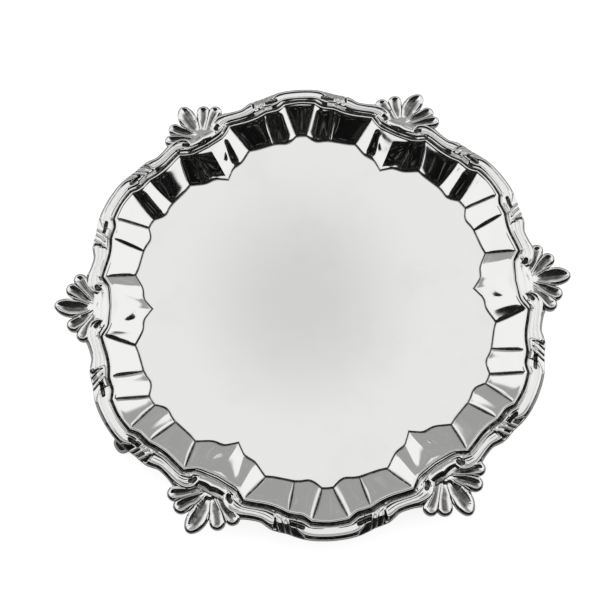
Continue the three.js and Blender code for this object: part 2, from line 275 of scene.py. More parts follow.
def wall_rise(f):
    """The wall climbs straight, but along each cusp's ridge it starts and ends gently."""
    near_cusp = np.exp(-((FROM_SHELL / CUSP_WIDTH) ** 2))
    straight = np.interp(f, *WALL_SECTION)
    gentle = (1 - 0.6 * smooth(0.5, 0.75, f)) * (smooth(0, 1, f) - straight)
    return WALL_RISE * (straight + gentle * near_cusp)


def swelling(f):
    """The panels beside each cusp belly in and out once, and the wall swells along the second crease."""
    t = (FROM_SHELL - CUSP_BELLY) / CUSP_BELLY_WIDTH
    cusp_panel = -t * np.exp(-t * t / 2)
    along = (FROM_SHELL - WELL_DEGREES[CREASES[1]]) * MM_PER_DEGREE
    beside = LENS_HEIGHT * np.clip(1 - np.abs(along) / np.where(along < 0, *LENS_REACH), 0, None) ** 2
    return (cusp_panel + beside) * math.sin(math.pi * f) ** 0.8


def disc_ring(share, z):
    """A ring inside the well's edge: round near the middle, and closer to the edge's shape further out."""
    w = smooth(0.1, 0.9, share)
    return WELL_DEGREES, share * (w * WELL_RADIUS + (1 - w) * WELL_ROUND), z, 0.0


def well_rings():
    """The flat well, and the line struck round its edge."""
    rings = [disc_ring(share, FLOOR_Z) for share in WELL_STEPS]
    # The line struck round the well is darkened through its recess value: partly tarnish, partly painted
    # shade in the groove.
    for d in FLOOR_LINE_STEPS:
        cut = math.exp(-(d / FLOOR_LINE_WIDTH) ** 2)
        rings.append((WELL_DEGREES, WELL_RADIUS + d, FLOOR_Z - FLOOR_LINE_DEPTH * cut, min(1.0, 1.3 * cut)))
    rings.append((WELL_DEGREES, WELL_RADIUS, FLOOR_Z - FLOOR_LINE_DEPTH, 1.0))
    return rings


def wall_rings():
    """The fluted wall, from the well's edge to the ledge."""
    rings = []
    for f in WALL_STEPS:
        degrees, radius = between(WELL, RIM, f)
        cut = np.exp(-((LINES[RIM][:, 1] - WELL_RADIUS) * f / FLOOR_LINE_WALL_WIDTH) ** 2)
        mark = crease_mark(f)
        height = FLOOR_Z + wall_rise(f) - FLOOR_LINE_DEPTH * cut - CREASE_DEPTH * mark
        # The floor line and the creases are darkened through the recess value: partly tarnish, partly painted
        # shade.
        recess = np.clip(np.maximum(1.3 * cut, 1.5 * mark), 0, 1)
        rings.append((degrees, radius + swelling(f) + CREASE_SHIFT * mark, height, recess))
    return rings


def ledge_rings():
    """The rolled ledge, the groove behind it and the flange that carries the border."""
    rings = []
    # The groove behind the ledge, and the flange's first rings out of it, are darkened through the recess
    # value: partly tarnish, partly painted shade.
    for q in LEDGE_STEPS:
        height = RIM_Z + np.interp(q, *LEDGE_SECTION)
        rings.append((*between(RIM, GROOVE, q), height, smooth(0.66, 0.85, q)))
    for w, drop, recess in FLANGE_STEPS:
        rings.append((*between(GROOVE, FLANGE, w), FLANGE_Z - drop, recess))
    return rings


def under_rings():
    """The underside, from the flange's edge back to the middle."""
    rings = [(*between(GROOVE, FLANGE, w), FLANGE_Z - SHEET, 0.0) for w in FLANGE_UNDER_STEPS]
    for f in WALL_UNDER_STEPS:
        degrees, radius = between(WELL, RIM, f)
        height = FLOOR_Z + wall_rise(f) - SHEET * (1 - WALL_THINNING * min(1, 6 * f))
        mark = crease_mark(f)
        radius = radius + swelling(f) + 0.5 * SHEET + CREASE_SHIFT * mark
        rings.append((degrees, radius, height - CREASE_DEPTH * mark, 0.0))
    return rings + [disc_ring(share, UNDER_Z) for share in WELL_UNDER_STEPS]


def ripple(x, y):
    """The faint unevenness that hand-raised sheet keeps: broad over the well, fine over the wall."""
    r = np.hypot(x, y)
    broad = np.sin(x / 13 + 0.6) * np.sin(y / 11 - 1.1) + np.sin((x + y) / 9.3 + 2.0) * 0.5
    fine = np.sin(x / 1.9 + np.sin(y / 2.7)) * np.sin(y / 2.1 + 1.3 * np.sin(x / 3.1))
    over_well = WELL_RIPPLE * broad * smooth(4, 30, r) * smooth(80, 70, r)
    over_wall = WALL_RIPPLE * fine * smooth(76, 80, r) * smooth(90, 86, r)
    return over_well + over_wall


def tray_mesh(material):
    """All the rings, closed by a fan at the middle of the well and of the underside."""
    rings = well_rings() + wall_rings() + ledge_rings() + under_rings()
    verts, recess = [(0, 0, FLOOR_Z)], [0.0]
    for degrees, radius, z, mark in rings:
        a = np.radians(degrees)
        x, y = radius * np.cos(a), radius * np.sin(a)
        verts.append(np.stack([x, y, z + ripple(x, y)], 1))
        recess.append(np.broadcast_to(mark, x.shape))
    verts.append((0, 0, UNDER_Z))
    recess.append(0.0)
    verts = np.concatenate([np.reshape(v, (-1, 3)) for v in verts])
    recess = np.concatenate([np.ravel(v) for v in recess])
    faces = grid_faces(len(rings), COLUMNS, 1, closed=True)
    last, under = 1 + (len(rings) - 1) * COLUMNS, len(verts) - 1
    for j in range(COLUMNS):
        k = (j + 1) % COLUMNS
        faces.append((0, 1 + j, 1 + k))
        faces.append((last + j, under, last + k))
    return new_piece("tray_plate_silver", verts, faces, material, recess)


# ---------------------------------------------------------------- cast border: its parts
def polar(points):
    """(degrees, radius) pairs as (x, y)."""
    p = np.array(points, float)
    a = np.radians(p[:, 0])
    return np.stack([p[:, 1] * np.cos(a), p[:, 1] * np.sin(a)], 1)


def curve(points, count):
    """A smooth path through (degrees, radius) points, as that many (x, y) points."""
    return spline(polar(points), np.linspace(0, 1, count))


# Beads, as (path, half width, height) over one half sector. A pair of values is at the path's start and end.
HOOK = curve(((16.5, 95.5), (15.2, 95.0), (13.9, 94.3), (12, 94.15), (10, 94.45), (8.2, 94.75), (6.7, 94.75),
              (5.4, 94.1), (4.4, 92.8), (3.95, 91.3), (3.9, 90.0), (4.1, 89.0)), 40)
RIB_SIZE = ((0.5, 0.32), (0.75, 0.75))
BEADS = (
    # outer bead of the long scroll, hooked round the eye at the shell
    (HOOK, 0.78, 0.65),
    # two fine reeds beside it
    (curve(((16.4, 94.3), (15.2, 93.8), (14, 93.2), (12, 93.05), (10, 93.3), (8.2, 93.5), (6.8, 93.35),
            (5.8, 92.7), (5.3, 91.8)), 30), 0.45, 0.13),
    (curve(((16.3, 93.2), (15.2, 92.6), (14, 92.15), (12, 92.1), (10, 92.35), (8.4, 92.45), (7.2, 92.15),
            (6.5, 91.6)), 26), 0.45, 0.13),
    # inner bead, ending in the knob inside the hook
    (curve(((17, 92.0), (15.8, 91.4), (14.3, 90.9), (12, 91.0), (10, 91.35), (8.4, 91.45), (7.3, 91.05),
            (6.5, 90.5), (6.0, 89.8), (6.1, 89.2)), 34), 0.62, 0.5),
    # ribs of the leaf knuckle
    (curve(((17.0, 92.6), (17.6, 94.4), (18.4, 97.5)), 8), *RIB_SIZE),
    (curve(((18.4, 92.5), (19.2, 94.8), (19.9, 97.8)), 8), *RIB_SIZE),
    (curve(((19.7, 92.6), (20.5, 95.1), (21.2, 98.2)), 8), *RIB_SIZE),
    # lobe scroll: outer bead with its curled tip, and the inner bead back to the knuckle
    (curve(((30, 98.9), (27.4, 98.75), (25.6, 98.45), (24.2, 97.9), (23.2, 97.0), (22.4, 95.8)), 20),
     (0.8, 0.5), (0.65, 0.6)),
    (curve(((30, 95.45), (27.4, 95.3), (25.6, 95.0), (24.6, 94.4), (23.6, 93.4), (22.3, 92.9), (21, 92.8),
            (20, 92.6)), 26), (0.5, 0.8), (0.4, 0.45)),
    # double bar at the shell's root
    (curve(((0, 86.9), (2.5, 87.2), (4.4, 87.7), (5.5, 88.3), (6.4, 89.1), (7.2, 90.0)), 16), 0.8, 0.35),
    (curve(((0, 88.9), (1.2, 88.7), (2.4, 88.85), (3.4, 89.2), (4.2, 89.8)), 12), (1.9, 1.2), (1.15, 0.5)),
)
# Hollows, as (path, half width, depth): the hook's eye, the lobe scroll's eye and the knuckle's root
HOLLOWS = (
    (curve(((5.5, 91.5), (5.0, 90.9), (4.75, 90.0)), 6), 0.95, 2.2),
    (curve(((20.9, 94.5), (22.0, 94.8), (23.6, 95.4)), 6), 0.85, 1.3),
    (curve(((17.0, 93.4), (17.1, 94.8), (17.2, 96.6)), 6), 0.6, 0.6),
)
# Sections of the border's ground and of the knuckle's leaf, as (distances from an edge, heights)
INNER_GAP = 0.12  # from the groove's outline to the castings
GROUND_INNER = ((0, 0.15, 1.45, 1.75, 2.2), (-0.5, -0.12, 0.85, 1.1, 1.15))
LEAF_INNER = ((0, 1.0, 1.5, 2.1, 2.6), (-0.5, 0.7, 2.0, 2.1, 1.7))
LEAF_OUTER = ((0, 0.6, 3.6), (0.1, 0.2, 1.8))
OUTER_SLOPE = ((0, 0.3, 1.35, 1.75, 2.2), (-0.7, 0.6, 1.55, 1.82, 9))
# By the shell the ground falls away: beside the hook by distance from it, and past the bars by radius, as
# (distances or radii, heights). The hook's outer side is given as (degrees, radii).
BESIDE_HOOK = ((0.75, 1.9), (1.15, -2))
BESIDE_BAR = ((90.6, 92.2, 94.5), (1.15, 0.9, -2))
HOOK_OUTSIDE = ((3.6, 4.4, 5.4, 6.7), (90.5, 92.8, 94.1, 94.7))
HOOK_FROM, HOOK_TO, BAR_TO = 3.6, 8.6, 3.9
KNUCKLE_START = (16.4, 16.85)
KNUCKLE_TIP = 22.0  # degrees, up to the radius KNUCKLE_TIP_BASE and slanting from there
KNUCKLE_TIP_SLANT, KNUCKLE_TIP_BASE = 0.55, 95.3
NOTHING = -9.0  # a height below everything
PETAL_FOOT = -0.4  # height beside the petals
MIN_COVER = 0.04  # metal left over the flange under a hollow

# Petals: centre line and half width, as (x, y, half width) along the shell's axis
PETALS = (
    ((91.6, -2.4, 0.8), (93.9, -5.6, 2.0), (96.2, -9.0, 2.8), (98.0, -11.9, 3.0)),
    ((91.8, -1.1, 0.9), (95.0, -3.3, 2.1), (98.2, -5.7, 3.0), (100.9, -7.4, 3.2)),
    ((91.8, 0, 1.0), (95, 0.1, 2.3), (98.5, 0.3, 3.5), (101.3, 0.4, 4.1), (103.6, 0.2, 3.95),
     (105.7, -0.1, 2.95), (107.2, -0.3, 1.5)),
    ((91.8, 1.1, 0.9), (94.8, 3.6, 2.1), (97.7, 6.2, 3.0), (100.2, 8.0, 3.1)),
    ((91.6, 2.4, 0.8), (93.2, 6.0, 2.0), (94.9, 9.6, 2.8), (96.2, 12.4, 2.95)),
)
PETAL_LINES = [spline(petal, np.linspace(0, 1, 19)) for petal in PETALS]
PETAL_ROOT = 91.8
PETAL_LENGTH = 16
SHELL_LEANS = (0.8, -1.2, 0.0, -1.2, 0.0, -0.2)  # sideways lean of each shell's tip: castings differ a little
# Along a petal, as (distances from the root, heights): its rim above the flange, and the depth of its scoop
PETAL_RIM = ((0, 1.5, 3, 5, 7, 10, 13, 17), (0.9, 0.7, 0.35, 0.6, 1.0, 1.5, 1.85, 2.0))
PETAL_SCOOP = ((1.5, 3.5, 5, 8, 11, 13.2, 14.8, 16.5), (0, 0.6, 1.1, 1.6, 1.9, 2.1, 1.7, 1.0))
# Across the rim, as (distances from the outline or from the line between two petals, drops)
OUTER_LIP = ((0, 0.22, 1.0, 1.3), (1.5, 0.82, 0.1, 0))
VALLEY = ((0, 0.09, 0.2, 0.32, 0.45), (0.6, 0.4, 0.16, 0.03, 0))
LIP_WIDTH, RIDGE_WIDTH = OUTER_LIP[0][-1], VALLEY[0][3]
# Distances from the root: where petals come free of the root, where the painted shade in a scoop begins and
# where it fades
PETAL_FREE, PETAL_DARK_FROM, PETAL_DARK_TO = (4, 9), (3, 5), (14.2, 12.6)
PETAL_BORDER = 0.4  # the part of a petal's half width that its rim takes
# Strength of the painted shade in the scoops.
PETAL_SCOOP_SHADE = 0.8
NEIGHBOURS, NEIGHBOUR_DISTANCE = 4, 0.45  # the places round a point whose mean height tells how deep it lies


# ---------------------------------------------------------------- cast border: its height
def along_segment(a, b, x, y):
    """Share of the way along a segment that is nearest to each point, and the distance from there."""
    d = b[:2] - a[:2]
    t = np.clip(((x - a[0]) * d[0] + (y - a[1]) * d[1]) / (d @ d), 0, 1)
    return t, np.hypot(x - a[0] - t * d[0], y - a[1] - t * d[1])


def nearest(line, x, y):
    """Distance from points to a polyline, and the share of the way along it, 0 to 1."""
    best, where = np.full(x.shape, FAR), np.zeros(x.shape)
    n = len(line) - 1
    for k in range(n):
        t, distance = along_segment(line[k], line[k + 1], x, y)
        closer = distance < best
        best = np.where(closer, distance, best)
        where = np.where(closer, (k + t) / n, where)
    return best, where


def bead(line, x, y, width, height):
    """A round bead along a polyline; width and height may be (start, end) pairs."""
    d, t = nearest(line, x, y)
    w = np.interp(t, (0, 1), width) if np.ndim(width) else width
    h = np.interp(t, (0, 1), height) if np.ndim(height) else height
    return h * np.clip(1 - (d / (1.2 * w)) ** 2, 0, None) ** 1.5


def petal_depth(line, x, y):
    """How far inside a petal's outline each point lies, and the petal's half width there."""
    best, width = np.full(x.shape, -FAR), np.ones(x.shape)
    for a, b in zip(line[:-1], line[1:]):
        t, distance = along_segment(a, b, x, y)
        w = a[2] + t * (b[2] - a[2])
        inside = w - distance
        better = inside > best
        best, width = np.where(better, inside, best), np.where(better, w, width)
    return best, width


def petal_height(x, y, lean):
    """Five scooped petals: height, distance inside the shell's outline, and the painted shade inside a scoop
    (0 to 1).
    """
    y = y - lean * np.clip((x - PETAL_ROOT) / PETAL_LENGTH, 0, 1) ** 1.5
    depths = [petal_depth(line, x, y) for line in PETAL_LINES]
    order = np.argsort([d[0] for d in depths], axis=0)
    inside = np.take_along_axis(np.array([d[0] for d in depths]), order, 0)
    width = np.take_along_axis(np.array([d[1] for d in depths]), order, 0)[-1]
    own, apart = inside[-1], (inside[-1] - inside[-2]) / 2
    s = np.hypot(x - PETAL_ROOT, y)
    free = smooth(*PETAL_FREE, s)
    lip = own + LIP_WIDTH * (1 - free)
    room = np.maximum(width - PETAL_BORDER - 0.6 * free, 0.3)
    into = np.clip(np.minimum(lip - LIP_WIDTH, apart - RIDGE_WIDTH) / room, 0, 1)
    section = into * (1.3 - 0.3 * into * into) * into / (into + 0.08) * 1.08
    scoop = np.minimum(np.interp(s, *PETAL_SCOOP), 0.5 * (width - PETAL_BORDER)) * section
    valley = np.interp(apart, *VALLEY) * smooth(1.5, 5, s)
    # Painted shade laid inside each scoop, away from its root and its tip.
    dark = smooth(0.1, 0.6, into) * smooth(*PETAL_DARK_FROM, s) * smooth(*PETAL_DARK_TO, s)
    return np.interp(s, *PETAL_RIM) - scoop - valley - np.interp(lip, *OUTER_LIP), own, dark


def ground_height(x, y, deg, r, into):
    """The border's ground under the beads, which falls away outside the hook and the bar at the shell."""
    rise = np.interp(into, *GROUND_INNER)
    hook = np.interp(nearest(HOOK, x, y)[0], *BESIDE_HOOK)
    outside = (deg < HOOK_TO) & (deg > HOOK_FROM) & (r > np.interp(deg, *HOOK_OUTSIDE))
    ground = np.where(outside, np.minimum(rise, hook), rise)
    return np.where(deg < BAR_TO, np.minimum(ground, np.interp(r, *BESIDE_BAR)), ground)


def border_height(x, y, lean=None):
    """Height of the cast border above the flange over one sector; with the petals if given their lean."""
    petals, own = NOTHING, NOTHING
    if lean is not None:
        petals, own, _ = petal_height(x, y, lean)
    y = np.abs(y)
    deg, r = np.degrees(np.arctan2(y, x)), np.hypot(x, y)
    deg = np.where(deg > HALF, SECTOR - deg, deg)
    x, y = r * np.cos(np.radians(deg)), r * np.sin(np.radians(deg))
    into, out = r - radius_at(GROOVE, deg) - INNER_GAP, edge_at(deg) - r
    leaf = np.minimum(np.interp(into, *LEAF_INNER), np.interp(out, *LEAF_OUTER))
    tip = KNUCKLE_TIP + KNUCKLE_TIP_SLANT * np.clip(r - KNUCKLE_TIP_BASE, 0, 4)
    knuckle = smooth(*KNUCKLE_START, deg) * (1 - smooth(tip - 0.2, tip + 0.2, deg))
    z = ground_height(x, y, deg, r, into) * (1 - knuckle) + leaf * knuckle
    best = np.zeros(x.shape)
    for line, width, height in BEADS:
        best = np.maximum(best, bead(line, x, y, width, height))
    z = np.minimum(z + best, np.interp(out, *OUTER_SLOPE))
    z = np.maximum(np.where(out > 0, z, NOTHING), np.where(own > 0, petals, PETAL_FOOT))
    for line, width, depth in HOLLOWS:
        d, _ = nearest(line, x, y)
        z = z - depth * np.clip(1 - (d / width) ** 2, 0, None)
    over_flange = (into > 1.0) & (r < radius_at(FLANGE, deg) + 0.4)
    return np.where(over_flange, np.maximum(z, MIN_COVER), z)


def recess_of(x, y, z, lean=None):
    """How deep each point of the border sits below its surroundings, 0 to 1: where it is darkened, partly as
    tarnish and partly as painted shade.
    """
    around = 0
    for k in range(NEIGHBOURS):
        a = (k + 0.5) * 2 * math.pi / NEIGHBOURS
        dx, dy = NEIGHBOUR_DISTANCE * math.cos(a), NEIGHBOUR_DISTANCE * math.sin(a)
        around = around + border_height(x + dx, y + dy, lean) / NEIGHBOURS
    recess = np.clip((around - z - 0.08) / 0.25, 0, 1)
    deg, r = np.degrees(np.arctan2(np.abs(y), x)), np.hypot(x, y)
    into = r - radius_at(GROOVE, deg) - INNER_GAP
    # Darkened along the inner edge against the groove and in the hollows: painted shade, with some tarnish.
    recess = np.maximum(recess, smooth(0.6, 0.3, into))
    for line, width, _ in HOLLOWS:
        d, _ = nearest(line, r * np.cos(np.radians(deg)), r * np.sin(np.radians(deg)))
        recess = np.maximum(recess, smooth(1.0, 0.6, d / width))
    # In the petals' scoops the darkening is painted shade.
    if lean is not None:
        recess = np.maximum(recess, PETAL_SCOOP_SHADE * petal_height(x, y, lean)[2])
    return recess


# ---------------------------------------------------------------- cast border: its meshes
SEAT_INNER, SEAT_OUTER = 0.6, SHEET + 0.35  # how far a scroll's inner and outer sides reach below the flange
# The two sides below the flange are darkened: partly tarnish, partly painted shade.
SEAT_RECESS = (0.6, 0.1)  # tarnish and painted shade along those two sides
STRIP_COLUMNS = 34  # points across a scroll
CAST_SHARP = 80  # edges sharper than this stay sharp on the castings, in degrees


def strip_mesh(name, start, end, material, rows, mirror=False):
    """A length of scroll between two angles: its sculpted top, its sides and its seat."""
    cols = STRIP_COLUMNS
    u = np.linspace(start, end, rows)
    folded = np.where(u > HALF, SECTOR - u, u)
    inner, edge = radius_at(GROOVE, folded) + INNER_GAP, edge_at(folded)
    r = inner[:, None] + (edge - inner)[:, None] * np.linspace(0, 1, cols)
    a = np.radians(u)[:, None] * np.ones(cols)
    fold = np.radians(folded)[:, None] * np.ones(cols)
    folded_x, folded_y = r * np.cos(fold), r * np.sin(fold)
    z = border_height(folded_x, folded_y)
    recess = recess_of(folded_x, folded_y, z)
    top = np.stack([r * np.cos(a), r * np.sin(a), z + FLANGE_Z], 2)
    seat = np.concatenate([top[:, 0], top[:, -1]])
    seat[:rows, 2] = FLANGE_Z - SEAT_INNER
    seat[rows:, 2] = FLANGE_Z - SEAT_OUTER
    verts = np.concatenate([top.reshape(-1, 3), seat])
    marks = np.concatenate([recess.ravel(), np.repeat(SEAT_RECESS, rows)])
    base, outer = rows * cols, rows * cols + rows
    faces = grid_faces(rows, cols, flip=True)
    for i in range(rows - 1):
        k = i * cols + cols - 1
        faces.append((i * cols, (i + 1) * cols, base + i + 1, base + i))
        faces.append((k, outer + i, outer + i + 1, k + cols))
        faces.append((base + i, base + i + 1, outer + i + 1, outer + i))
    for i, flip in ((0, False), (rows - 1, True)):
        loop = [i * cols + j for j in range(cols)] + [outer + i, base + i]
        faces.append(loop[::-1] if flip else loop)
    if mirror:
        verts = verts * [1, -1, 1]
        faces = [tuple(f)[::-1] for f in faces]
    return new_piece(name, verts, faces, material, marks, sharp=CAST_SHARP)


SHELL_ROOT = 93.0  # radius of the point that a shell's grid fans out from
SHELL_SPOKES, SHELL_ROWS = 720, 84
SHELL_REACH = np.linspace(0.4, 17, 400)  # distances from the root at which the outline is looked for
# The shell's outer edge without its petals
SHELL_SHOULDER = ((0, 5, 6.5, SHELL_HALF), (94.4, 94.7, 95.8, edge_at(SHELL_HALF)))
SHELL_UNDER = (1.0, 0.8, 0.55, 0.3)  # rings of the underside, as shares of the reach
SHELL_BACK = 0.9  # thickness of the petals, at least
ON_FLANGE, ON_LEDGE = 94.8, 90.5  # inside these radii the casting rests on the flange, and then in the groove


def fan(turn, reach):
    """Points at some distances from the shell's root along each spoke, with their degrees and radius."""
    x = SHELL_ROOT + np.cos(turn)[:, None] * reach
    y = np.sin(turn)[:, None] * reach
    return x, y, np.degrees(np.arctan2(np.abs(y), x)), np.hypot(x, y)


def shell_limit(turn, lean):
    """How far the shell's outline is from its root along each spoke."""
    x, y, deg, r = fan(turn, SHELL_REACH)
    inside = (r >= radius_at(GROOVE, deg) + INNER_GAP) & (r <= np.interp(deg, *SHELL_SHOULDER))
    inside &= deg <= SHELL_HALF + 0.1
    inside |= petal_height(x, y, lean)[1] > 0
    last = len(SHELL_REACH) - 1 - np.argmax(inside[:, ::-1], axis=1)
    return SHELL_REACH[last]


def shell_faces(n):
    """Faces of the fan of spokes, n points each, its rim and its underside."""
    around, under = SHELL_SPOKES, len(SHELL_UNDER)
    skirt, centre = around * n, around * (n + under)
    lowest = skirt + (under - 1) * around
    faces = []
    for i in range(around):
        j = (i + 1) % around
        faces.append((centre, i * n, j * n))
        for k in range(n - 1):
            faces.append((i * n + k, i * n + k + 1, j * n + k + 1, j * n + k))
        faces.append((i * n + n - 1, skirt + i, skirt + j, j * n + n - 1))
        for a in range(skirt, lowest, around):
            faces.append((a + i, a + around + i, a + around + j, a + j))
        faces.append((lowest + i, centre + 1, lowest + j))
    return faces


def shell_mesh(material, lean):
    """A fluted shell with the hooks and bars at its root, on a grid that fans out from its root."""
    turn = np.linspace(0, 2 * np.pi, SHELL_SPOKES, endpoint=False)
    share = np.linspace(0, 1, SHELL_ROWS)[1:] ** 0.9
    x, y, _, r = fan(turn, shell_limit(turn, lean)[:, None] * share)
    z = border_height(x, y, lean)
    verts = [np.stack([x, y, z + FLANGE_Z], 2).reshape(-1, 3)]
    marks = [recess_of(x, y, z, lean).ravel()]
    n = len(share)
    for k in (min(n - 1, int(n * part)) for part in SHELL_UNDER):
        seat = -0.15 - 0.45 * (r[:, k] < ON_LEDGE)
        under = np.where(r[:, k] < ON_FLANGE, seat, np.minimum(z[:, k] - SHELL_BACK, -0.5))
        verts.append(np.stack([x[:, k], y[:, k], FLANGE_Z + under], 1))
        # The shell's underside is darkened a little: painted shade under the casting.
        marks.append(np.full(SHELL_SPOKES, 0.1))
    top = border_height(np.array([SHELL_ROOT]), np.array([0.0]), lean)[0]
    verts.append(np.array([[SHELL_ROOT, 0, FLANGE_Z + top], [SHELL_ROOT, 0, FLANGE_Z - 0.15]]))
    marks.append(np.zeros(2))
    verts, marks = np.concatenate(verts), np.concatenate(marks)
    return new_piece("shell_silver", verts, shell_faces(n), material, marks, sharp=CAST_SHARP)


# ---------------------------------------------------------------- feet
FOOT_COUNT = 4
FOOT_HEADING = 33.3
FOOT_SQUARENESS = 2.5  # exponent of the rounded rectangle that a level section is
# Level sections of a foot: (height, inner radius, outer radius, half width)
FOOT_SECTIONS = (
    (0.0, 98.2, 101.0, 2.2), (0.6, 97.2, 102.2, 3.2), (1.8, 96.6, 103.1, 3.8), (3.2, 95.9, 103.3, 3.9),
    (4.8, 94.6, 102.3, 3.7), (6.4, 92.8, 99.9, 3.3), (8.0, 90.4, 97.2, 2.9), (9.2, 88.0, 95.4, 2.9),
    (10.4, 85.0, 94.2, 3.3), (11.4, 82.2, 93.6, 4.2), (12.4, 79.8, 93.4, 5.2), (13.6, 79.2, 93.4, 5.6),
    (15.2, 82.0, 93.4, 6.0), (17.0, 85.4, 93.4, 6.4), (18.6, 88.4, 93.4, 6.6), (20.1, 91.2, 93.4, 6.6),
)


def foot_mesh(material, levels=64, around=48):
    """A scroll foot, lofted through its level sections."""
    height, inner, outer, half_width = spline(FOOT_SECTIONS, np.linspace(0, 1, levels)).T
    turn = np.linspace(0, 2 * np.pi, around, endpoint=False)
    c, s = np.cos(turn), np.sin(turn)
    power = 2 / FOOT_SQUARENESS
    across, along = np.sign(c) * np.abs(c) ** power, np.sign(s) * np.abs(s) ** power
    centre, half = (inner + outer) / 2, (outer - inner) / 2
    x = centre[:, None] + half[:, None] * across
    y = half_width[:, None] * along
    z = np.broadcast_to(height[:, None], x.shape)
    ends = [[centre[0], 0, height[0]], [centre[-1], 0, height[-1]]]
    verts = np.concatenate([np.stack([x, y, z], 2).reshape(-1, 3), ends])
    faces = grid_faces(levels, around, closed=True, flip=True)
    n = levels * around
    for j in range(around):
        k = (j + 1) % around
        faces.append((n, k, j))
        faces.append((n + 1, n - around + j, n - around + k))
    return new_piece("foot_silver", verts, faces, material, np.zeros(len(verts)))


# ---------------------------------------------------------------- shader nodes
def link_math(tree, operation, a, b=None, clamp=False):
    """The output of a maths node; a and b are numbers or sockets."""
    node = tree.nodes.new("ShaderNodeMath")
    node.operation, node.use_clamp = operation, clamp
    for socket, value in zip(node.inputs, (a, b)):
        if value is None:
            continue
        if isinstance(value, (int, float)):
            socket.default_value = value
        else:
            tree.links.new(value, socket)
    return node.outputs[0]


def link_range(tree, value, from_low, from_high, to_low=0.0, to_high=1.0):
    """The output of a soft step from one range of values to another."""
    node = tree.nodes.new("ShaderNodeMapRange")
    node.interpolation_type = "SMOOTHSTEP"
    tree.links.new(value, node.inputs["Value"])
    numbers = {"From Min": from_low, "From Max": from_high, "To Min": to_low, "To Max": to_high}
    for socket, number in numbers.items():
        node.inputs[socket].default_value = number
    return node.outputs["Result"]


def link_mix(tree, share, a, b):
    """A mix of two colours; a and b are (r, g, b) or sockets."""
    node = tree.nodes.new("ShaderNodeMix")
    node.data_type = "RGBA"
    tree.links.new(share, node.inputs["Factor"])
    for socket, value in ((node.inputs[6], a), (node.inputs[7], b)):
        if isinstance(value, tuple):
            socket.default_value = (*value, 1)
        else:
            tree.links.new(value, socket)
    return node.outputs[2]


def noise(tree, coordinates, scale, detail):
    """The output of a cloudy noise."""
    node = tree.nodes.new("ShaderNodeTexNoise")
    tree.links.new(coordinates, node.inputs["Vector"])
    node.inputs["Scale"].default_value = scale
    node.inputs["Detail"].default_value = detail
    node.inputs["Roughness"].default_value = 0.55
    return node.outputs["Fac"]


# ---------------------------------------------------------------- silver
BRIGHT = (0.95, 0.948, 0.94)
DULL = (0.92, 0.917, 0.908)
# A near-black colour for recesses, creases and grooves: partly tarnish, partly painted shade.
OXIDE_AND_PAINTED_SHADE = (0.035, 0.031, 0.028)
OXIDE_AND_SHADE_ROUGHNESS = 0.35


def silver(name, gloss, scratch):
    """Polished sterling with faint clouds of handling, wiping scratches, and a near-black colour in its
    recesses that is partly tarnish and partly painted shade.

    Gloss is the lowest and highest roughness of the polish, and scratch is the strength of its relief.
    """
    material = bpy.data.materials.new(name)
    material.use_nodes = True
    tree = material.node_tree
    shader = tree.nodes["Principled BSDF"]
    shader.inputs["Metallic"].default_value = 1.0
    coordinates = tree.nodes.new("ShaderNodeTexCoord").outputs["Object"]
    recess = tree.nodes.new("ShaderNodeAttribute")
    recess.attribute_name = "recess"
    patches = link_range(tree, noise(tree, coordinates, 600, 2.0), 0.2, 0.6, 0.75, 1.0)
    # The recess value mixes the near-black colour in: partly tarnish, partly painted shade.
    oxide_and_shade = link_math(tree, "MULTIPLY", recess.outputs["Fac"], patches)
    clouds = link_range(tree, noise(tree, coordinates, 42, 4.0), 0.5, 0.75)
    metal = link_mix(tree, clouds, BRIGHT, DULL)
    tree.links.new(link_mix(tree, oxide_and_shade, metal, OXIDE_AND_PAINTED_SHADE), shader.inputs["Base Color"])
    polish = link_range(tree, noise(tree, coordinates, 110, 5.0), 0.3, 0.75, *gloss)
    rough_oxide_and_shade = link_math(tree, "MULTIPLY", oxide_and_shade, OXIDE_AND_SHADE_ROUGHNESS)
    tree.links.new(link_math(tree, "ADD", polish, rough_oxide_and_shade), shader.inputs["Roughness"])
    tree.links.new(surface_relief(tree, coordinates, scratch), shader.inputs["Normal"])
    return material


def surface_relief(tree, coordinates, strength):
    """Hairline scratches, from a stretched and turned noise, and fine pits."""
    stretch = tree.nodes.new("ShaderNodeMapping")
    tree.links.new(coordinates, stretch.inputs["Vector"])
    stretch.inputs["Rotation"].default_value = (0, 0, 0.6)
    stretch.inputs["Scale"].default_value = (60, 2200, 400)
    hair = noise(tree, stretch.outputs["Vector"], 1.0, 2.0)
    pits = noise(tree, coordinates, 900, 3.0)
    relief = link_math(tree, "MULTIPLY", link_math(tree, "ADD", hair, pits), 0.5)
    bump = tree.nodes.new("ShaderNodeBump")
    bump.inputs["Strength"].default_value = strength
    bump.inputs["Distance"].default_value = 0.0002
    tree.links.new(relief, bump.inputs["Height"])
    return bump.outputs["Normal"]


# ---------------------------------------------------------------- studio
HEADING = math.radians(-2.268)  # the studio and the camera are turned this much about the salver's axis
FLOOR_GREY, FLOOR_GLOW, FLOOR_HALF = 0.5, 0.85, 4.0
FLOOR_GAP = 0.00005  # the floor lies this far below the feet, in metres
